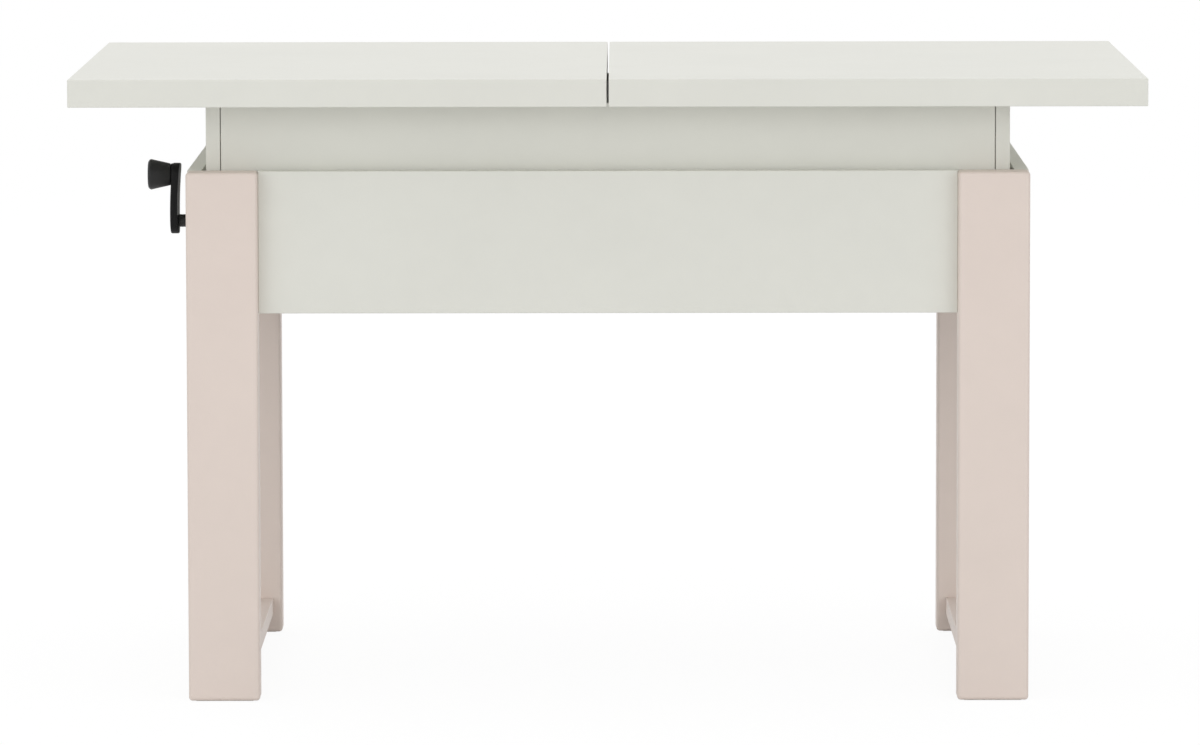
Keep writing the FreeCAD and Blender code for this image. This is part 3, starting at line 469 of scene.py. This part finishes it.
def screw_head(bm, centre, axis, radius=3.6):
    """A pan head with a hexagon socket."""
    crown = (2.2, radius * 0.55)
    floor = 0.8
    turned(bm, ((-0.2, 0.2), (-0.2, radius), (0.9, radius), (1.7, radius * 0.86), crown), axis, centre, 24)
    turned(bm, (crown, (2.2, radius * 0.42), (floor, radius * 0.40), (floor, 0)), axis, centre, 6)


def plate_screws():
    """Two screws in each end plate of the lower and upper rails."""
    out = 19 * MM
    rail_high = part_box("base_rails")[1]
    for node, name, body in (("base_rail_plates", "base_plate_screws", "frame"),
                             ("upper_rail_plates", "upper_plate_screws", "lift_box")):
        low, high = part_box(node)
        z = (low.z + high.z) / 2
        bm = bmesh.new()
        for end in ENDS:
            face = (high.x - PLATE_THICK) * end
            for side in SIDES:
                middle = (rail_high.y - TUBE_WIDE / 2) * side
                for wing in (-out, out):
                    screw_head(bm, Vector((face, middle + wing, z)), (-end, 0, 0))
        finished(bm, name, "bright_steel", body)


def pin_clips():
    """Spring clips that hold the pivots, pins and axle endways."""
    back = 1.7 * MM
    bevel, lip = 3.2, 3.4
    for node, name, body, radius in (
            ("base_pivot_shaft", "base_shaft_clips", "frame", 5.0),
            ("centre_shaft", "centre_shaft_clips", "scissor_inner", 5.0),
            ("upper_roller_pins", "upper_roller_clips", "scissor_inner", 5.0),
            ("lower_axle", "lower_axle_clips", "scissor_outer", 6.0),
            ("upper_pivot_pins", "upper_pin_clips", "lift_box", 5.0)):
        low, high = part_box(node)
        ring = ((0, radius), (0, radius + bevel), (0.2, radius + lip), (0.8, radius + lip),
                (1.0, radius + bevel), (1.0, radius), (0, radius))
        bm = bmesh.new()
        for side in SIDES:
            centre = Vector(((low.x + high.x) / 2, (high.y - back) * side, (low.z + high.z) / 2))
            turned(bm, ring, (0, side, 0), centre, 40)
        finished(bm, name, "bright_steel", body)


def block_screws():
    """Two screws on each inner face of the corner blocks, staggered so that they miss each other."""
    low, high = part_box("corner_blocks")
    wide = 30 * MM
    stagger = 12 * MM
    head = 4.0
    bm = bmesh.new()
    for end in ENDS:
        for side in SIDES:
            for share in (0.2, 0.7):
                z = low.z + (high.z - low.z) * share
                inward = Vector(((high.x - wide) * end, (high.y - wide / 2) * side, z))
                sideways = Vector(((high.x - wide / 2) * end, (high.y - wide) * side, z + stagger))
                screw_head(bm, inward, (-end, 0, 0), head)
                screw_head(bm, sideways, (0, -side, 0), head)
    finished(bm, "corner_block_screws", "bright_steel", "lift_box")


def weld_bead(bm, start, axis, length):
    """A rippled bead, half sunk in the corner that it fills."""
    ripple = 2.2
    crest, trough = 1.55, 1.2
    ripples = max(4, round(length / ripple))
    profile = [(0, 0)]
    for i in range(ripples):
        profile += [((i + 0.25) * length / ripples, crest), ((i + 0.85) * length / ripples, trough)]
    profile.append((length, 0))
    turned(bm, profile, axis, start, 12)


def rail_end_weld(bm, rail_high, end, side, z):
    """A bead across the end of a rail, where it meets its plate."""
    run = 26
    middle = (rail_high.y - TUBE_WIDE / 2) * side
    weld_bead(bm, Vector((rail_high.x * end, middle - run / 2 * MM, z)), ALONG_Y, run)


def base_welds():
    """Beads that join the lower cross members, the bearing block, the pivot ears and the rail ends."""
    low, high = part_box("base_cross_members")
    rail_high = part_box("base_rails")[1]
    block_low, block_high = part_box("spindle_bearing")
    ear_low, ear_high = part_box("base_pivot_ears")
    upright = (high.z - low.z - 2 * WELD_INSET) / MM
    flat = 24
    block_run = (block_high.y - block_low.y - 4 * WELD_INSET) / MM
    bm = bmesh.new()
    for end in ENDS:
        middle = (high.x - TUBE_WIDE / 2) * end
        for side in SIDES:
            for x in (middle - TUBE_WIDE / 2, middle + TUBE_WIDE / 2):
                weld_bead(bm, Vector((x, high.y * side, low.z + WELD_INSET)), ALONG_Z, upright)
            weld_bead(bm, Vector((middle - flat / 2 * MM, high.y * side, high.z)), ALONG_X, flat)
            rail_end_weld(bm, rail_high, end, side, rail_high.z)
    for x in (block_low.x, block_high.x):
        weld_bead(bm, Vector((x, block_low.y + 2 * WELD_INSET, rail_high.z)), ALONG_Y, block_run)
    for side in SIDES:
        foot = Vector((ear_low.x + 2 * WELD_INSET, (ear_high.y - EAR_THICK) * side, ear_low.z))
        weld_bead(bm, foot, ALONG_X, EAR_WELD)
    finished(bm, "base_frame_welds", "zinc_steel", "frame", 50)


def upper_welds():
    """Beads that join the upper pivot ears and rail ends."""
    low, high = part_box("upper_pivot_ears")
    rail_low, rail_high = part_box("upper_rails")
    bm = bmesh.new()
    for side in SIDES:
        weld_bead(bm, Vector((low.x + 2 * WELD_INSET, high.y * side, high.z)), ALONG_X, EAR_WELD)
        for end in ENDS:
            rail_end_weld(bm, rail_high, end, side, rail_low.z)
    finished(bm, "upper_frame_welds", "zinc_steel", "lift_box", 50)


crank_arm()
crank_knob()
threaded_spindle()
plate_screws()
pin_clips()
block_screws()
base_welds()
upper_welds()


# Studio
WHITE = (1, 1, 1, 1)


def studio_floor():
    """A matt pale disc that shows almost white and keeps a trace of the table's shadow."""
    darkest = (0.725, 0.725, 0.725, 1)
    lightest = (0.755, 0.755, 0.755, 1)
    glow = 1.05
    glow_share = 0.88
    bm = bmesh.new()
    bmesh.ops.create_circle(bm, cap_ends=True, segments=96, radius=14)
    floor = linked_mesh("studio_floor", bm)
    f = Finish("pale_floor")
    tone = f.tint(f.noise(3.0, detail=3.0), darkest, lightest)
    matt = f.node("ShaderNodeBsdfDiffuse", {}, {"Color": tone})
    white = f.node("ShaderNodeEmission", {}, {"Color": WHITE, "Strength": glow})
    lit = f.node("ShaderNodeMixShader", {}, {0: f.backdrop_ray() * glow_share, 1: matt, 2: white})
    clear = f.node("ShaderNodeBsdfTransparent")
    below = f.node("ShaderNodeNewGeometry", out="Backfacing")
    floor.data.materials.append(f.surface(f.node("ShaderNodeMixShader", {}, {0: below, 1: lit, 2: clear})))


def studio_world():
    """White all round and weaker at the ends of the table, so that the legs shade the apron beside them."""
    sky = Finish("studio_sky", "worlds", "ShaderNodeOutputWorld")
    way = sky.node("ShaderNodeTexCoord", out="Generated")
    across = sky.node("ShaderNodeSeparateXYZ", {}, {"Vector": way}, out="X")
    level = 0.98 - across * across * 0.5 - across * 0.06
    light = sky.node("ShaderNodeBackground", {}, {"Color": WHITE, "Strength": level})
    white = sky.node("ShaderNodeBackground", {}, {"Color": WHITE, "Strength": 1.0})
    lit = sky.node("ShaderNodeMixShader", {}, {0: sky.backdrop_ray(), 1: light, 2: white})
    bpy.context.scene.world = sky.surface(lit)


def soft_box(name, place, size, power):
    """An area lamp that aims at the middle of the table and isn't seen itself."""
    aim = Vector((0, 0, 0.4))
    lamp = bpy.data.lights.new(name, "AREA")
    lamp.shape = "RECTANGLE"
    lamp.size, lamp.size_y = size
    lamp.energy = power
    obj = linked(name, lamp)
    obj.location = place
    obj.rotation_euler = (aim - Vector(place)).to_track_quat("-Z", "Y").to_euler()
    obj.visible_camera = False


def photo_camera():
    """The camera that was fitted to the edges of the photograph, whose frame is 1200 by 745."""
    frame_wide = 1200
    focal = 7713.28
    sensor = 36
    place = (0.01748, -8.89619, 1.25298)
    yaw, tilt, roll = -0.00309, 0.10222, -0.00167
    ahead = Vector((math.sin(yaw) * math.cos(tilt), math.cos(yaw) * math.cos(tilt), -math.sin(tilt)))
    right = Vector((math.cos(yaw), -math.sin(yaw), 0))
    up = right.cross(ahead)
    across = math.cos(roll) * right + math.sin(roll) * up
    above = -math.sin(roll) * right + math.cos(roll) * up
    lens = bpy.data.cameras.new("photo_camera")
    lens.sensor_fit = "HORIZONTAL"
    lens.sensor_width = sensor
    lens.lens = focal * sensor / frame_wide
    lens.clip_end = 100
    camera = linked("photo_camera", lens)
    axes = Matrix((across, above, -ahead)).transposed().to_4x4()
    camera.matrix_world = Matrix.Translation(place) @ axes
    bpy.context.scene.camera = camera


studio_floor()
studio_world()
for row, x, y, z, power in (("front", 3.39, -4.84, 1.44, 30), ("back", 2.9, 5.02, 1.95, 16)):
    soft_box(f"{row}_left_box", (-x, y, z), (3.0, 2.0), power)
    soft_box(f"{row}_right_box", (x, y, z), (3.0, 2.0), power)
soft_box("over_box", (0.0, 0.0, 4.4), (2.5, 2.0), 8)
photo_camera()
bpy.context.scene.view_settings.view_transform = "Standard"
